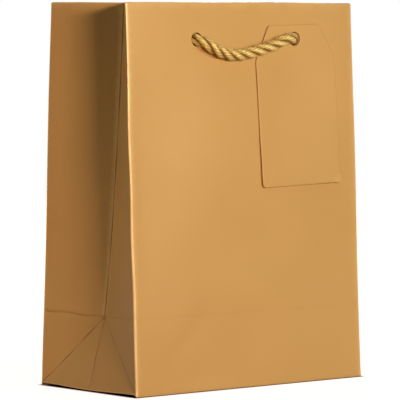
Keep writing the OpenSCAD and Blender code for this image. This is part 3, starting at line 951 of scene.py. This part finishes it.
def tagOutline(grow):
    # rounded outline of the tag about its hole, made larger by grow, with the tiny cutting nicks
    w, top = tagStyle["width"] / 2, tagStyle["holeDrop"]
    low, cornerR = top - tagStyle["height"], tagStyle["cornerR"]
    cutW, cutH = tagStyle["cutW"], tagStyle["cutH"]
    corners = np.array([(w - cutW, top), (w, top - cutH), (w, low), (-w, low), (-w, top - cutH),
                        (-w + cutW, top)])
    points = []
    for i, here in enumerate(corners):
        back = corners[i - 1] - here
        onward = corners[(i + 1) % len(corners)] - here
        back, onward = back / np.linalg.norm(back), onward / np.linalg.norm(onward)
        half = math.acos(float(back @ onward)) / 2
        middle = back + onward
        centre = here + middle / np.linalg.norm(middle) * cornerR / math.sin(half)
        a = here + back * cornerR / math.tan(half) - centre
        b = here + onward * cornerR / math.tan(half) - centre
        t0, t1 = math.atan2(a[1], a[0]), math.atan2(b[1], b[0])
        t1 = t0 - ((t0 - t1) % (2 * math.pi))
        points += [centre + (cornerR + grow) * np.array([math.cos(t), math.sin(t)])
                   for t in np.linspace(t0, t1, 7)]
    points = np.array(points + [points[0]])
    fine = np.vstack([straight(points[i], points[i + 1], 0.8)[:-1]
                      for i in range(len(points) - 1)] + [points[-1:]])
    for nx, ny, ox, oy in tagStyle["nicks"]:
        near = bell(np.hypot(fine[:, 0] - nx, fine[:, 1] - ny), tagStyle["nickWidth"])[:, None]
        fine = fine + near * np.array([ox, oy])
    return fine


def tagOut(x, y):
    # how far the front of the tag stands off the panel, with the lift of its lower end
    out = (tagStyle["gap"] + tagStyle["thick"]
           + tagStyle["bottomLift"] * rampTo((-y - 18) / 52) ** 1.5)
    out = out + tagStyle["sideLift"] * rampTo((-x - 8) / 18) * rampTo((-y - 6) / 20)
    out = out + tagStyle["rightLift"] * rampTo((x - 4) / 20) * rampTo((-y - 4) / 20)
    out = out + tagStyle["bentCorner"] * rampTo((x - y - 89) / 5)
    return out + tagStyle["wave"] * np.sin(x / 9 + y / 13)


def insideOutline(x, y, outline):
    good = np.zeros(x.shape, bool)
    for (x0, y0), (x1, y1) in zip(outline[:-1], outline[1:]):
        if y0 != y1:
            hit = (y0 > y) != (y1 > y)
            good ^= hit & (x < x0 + (y - y0) * (x1 - x0) / (y1 - y0))
    return good


def makeTag():
    outline = tagOutline(0)
    holeR = paperStyle["holeR"]
    rings = [outline] + [tagOutline(-d) for d in tagStyle["edgeRings"]]
    rings += [ring((0, 0), holeR + d, 32) for d in tagStyle["holeRings"]]

    def keep(x, y):
        return insideOutline(x, y, outline) & (x ** 2 + y ** 2 > holeR ** 2 * 0.99)

    flat, faces = cutSheet(rings, tagStyle["spacing"], tagStyle["clearance"], keep)
    x, y = flat[:, 0], flat[:, 1]
    dense = np.vstack([straight(outline[i], outline[i + 1], 0.4)[:-1]
                       for i in range(len(outline) - 1)])
    edge = np.sqrt(((flat[:, None, :] - dense[None]) ** 2).sum(axis=2)).min(axis=1)
    edge = np.minimum(edge, np.hypot(x, y) - holeR)
    droop = tagStyle["edgeRound"] * np.clip(1 - edge / tagStyle["edgeOver"], 0, 1) ** 2
    out = tagOut(x, y) - droop
    turnBy = math.radians(tagStyle["turn"])
    px = x * math.cos(turnBy) - y * math.sin(turnBy)
    py = x * math.sin(turnBy) + y * math.cos(turnBy)
    place = np.array([panelToFrame(holeHalf + a, b, c) for a, b, c in zip(px, py, out)])
    print(f"tag cut, {len(faces)} faces")
    return sheetObject("tag", place, faces, tagGold, tagStyle["thick"])


tag = makeTag()
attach(tag, "tag")
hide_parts("gift_tag")

# the cards and the board keep their own solids
for node in ("front_mouth_card", "back_mouth_card", "base_board"):
    solid = frame["nodes"][node]
    solid.data.materials.clear()
    solid.data.materials.append(greyBoard)
print("cards and board dressed")

# the floor's colour under the bag is a painted shadow where it meets the bag, and the glow near it
# is painted a little dimmer
stageStyle = {
    "floorColour": "#b5937f", "contactShadowColour": "#1c1208", "contactShadowMm": 1.2,
    "floorHalf": 6.0, "glowNear": 0.92, "glowFar": 1.0, "glowFrom": 0.03,
    "glowTo": 0.5, "glowEdge": 0.0025, "skyForShade": 0.017}
# azimuth and height in degrees, distance in metres, size in metres, what it aims at in
# millimetres above the floor, spread in degrees, power in watts, colour
lamps = {
    "key": (27.0, 6.5, 1.5, (0.4, 0.4), 80, 180, 6.3, "#faffff"),
    "fill": (-16.0, 15.0, 0.8, (0.2, 0.06), 70, 180, 3.6, "#ffcec0"),
    "rim": (-125.0, 1.0, 0.5, (0.1, 0.1), 40, 50, 0.04, "#ffd9cc"),
    "behind": (145.0, 24.0, 1.5, (0.6, 0.6), 90, 180, 11.0, "#ffefe4"),
    "above": (20.0, 78.0, 0.9, (0.3, 0.3), 90, 180, 1.1, "#ffffff")}


def seenDirectly(tree):
    # 1 for rays from the camera and through or off clear and shiny things, 0 for light and shade
    rays = addNode(tree, "LightPath")
    either = addNode(tree, "Math", {0: (rays, "Is Camera Ray"), 1: (rays, "Is Glossy Ray")},
        operation="ADD")
    return addNode(tree, "Math", {0: either, 1: (rays, "Is Transmission Ray")}, operation="ADD",
        use_clamp=True)


def makeFloor():
    # matt cloth with a painted shadow dark under the bag and just round its edge, that looks white
    # but for the bag's shadow, its glow painted a little dimmer near the bag
    size = stageStyle["floorHalf"]
    mesh = bpy.data.meshes.new("floor")
    mesh.from_pydata([(-size, -size, 0), (size, -size, 0), (size, size, 0), (-size, size, 0)],
                     [], [(0, 1, 2, 3)])
    obj = addObject("floor", mesh)
    mat, tree = newMaterial("pale_studio_floor")
    seen = seenDirectly(tree)
    place = addNode(tree, "TexCoord")
    whole = addNode(tree, "VectorMath", {0: (place, "Object")}, operation="ABSOLUTE")
    outside = addNode(tree, "VectorMath", {0: whole, 1: (bagW / 2 * mm, bagD / 2 * mm, 0)},
        operation="SUBTRACT")
    beyond = addNode(tree, "VectorMath", {0: outside, 1: (0, 0, 0)}, operation="MAXIMUM")
    reach = addNode(tree, "VectorMath", {0: beyond}, operation="LENGTH")
    # painted shade: the glow drops to nothing at the edge of the bag's footprint and is a little
    # weaker within half a metre of it
    close = addNode(tree, "MapRange", {"Value": (reach, "Value"),
        "From Max": stageStyle["glowEdge"], "To Max": stageStyle["glowNear"]})
    spread = addNode(tree, "MapRange", {"Value": (reach, "Value"),
        "From Min": stageStyle["glowFrom"], "From Max": stageStyle["glowTo"],
        "To Max": stageStyle["glowFar"] - stageStyle["glowNear"]})
    level = addNode(tree, "Math", {0: close, 1: spread}, operation="ADD")
    glow = addNode(tree, "Math", {0: seen, 1: level}, operation="MULTIPLY")
    # painted shadow: dark brown under the bag and for about a millimetre round it
    contactShadow = addNode(tree, "MapRange", {"Value": (reach, "Value"),
        "From Max": stageStyle["contactShadowMm"] * mm})
    shade = addNode(tree, "ValToRGB", {"Fac": contactShadow},
        [(0.0, stageStyle["contactShadowColour"]), (1.0, stageStyle["floorColour"])])
    cloth = addNode(tree, "BsdfDiffuse", {"Color": shade})
    light = addNode(tree, "Emission", {"Color": colour("#ffffff"), "Strength": glow})
    total = addNode(tree, "AddShader", {0: cloth, 1: light})
    addNode(tree, "OutputMaterial", {"Surface": total})
    mesh.materials.append(mat)


def makeSky():
    # white where it is seen, dim where it only fills the shade
    world = bpy.data.worlds.new("studio")
    bpy.context.scene.world = world
    world.use_nodes = True
    tree = world.node_tree
    tree.nodes.clear()
    strength = addNode(tree, "MapRange", {"Value": seenDirectly(tree),
        "To Min": stageStyle["skyForShade"]})
    sky = addNode(tree, "Background", {"Color": colour("#ffffff"), "Strength": strength})
    addNode(tree, "OutputWorld", {"Surface": sky})


def softLamp(name, azimuth, height, distance, size, aim, spread, power, hexText):
    data = bpy.data.lights.new(name, "AREA")
    data.shape = "RECTANGLE"
    data.size, data.size_y = size
    data.spread = math.radians(spread)
    data.energy = power
    data.color = colour(hexText)[:3]
    obj = addObject(name, data)
    a, h = math.radians(azimuth), math.radians(height)
    target = Vector((0, 0, aim * mm))
    way = Vector((math.cos(h) * math.sin(a), -math.cos(h) * math.cos(a), math.sin(h)))
    obj.location = target + distance * way
    aimAt(obj, target)


makeFloor()
makeSky()
for name, values in lamps.items():
    softLamp(name, *values)
bpy.context.scene.view_settings.view_transform = "Standard"
print("floor, sky and lamps set")
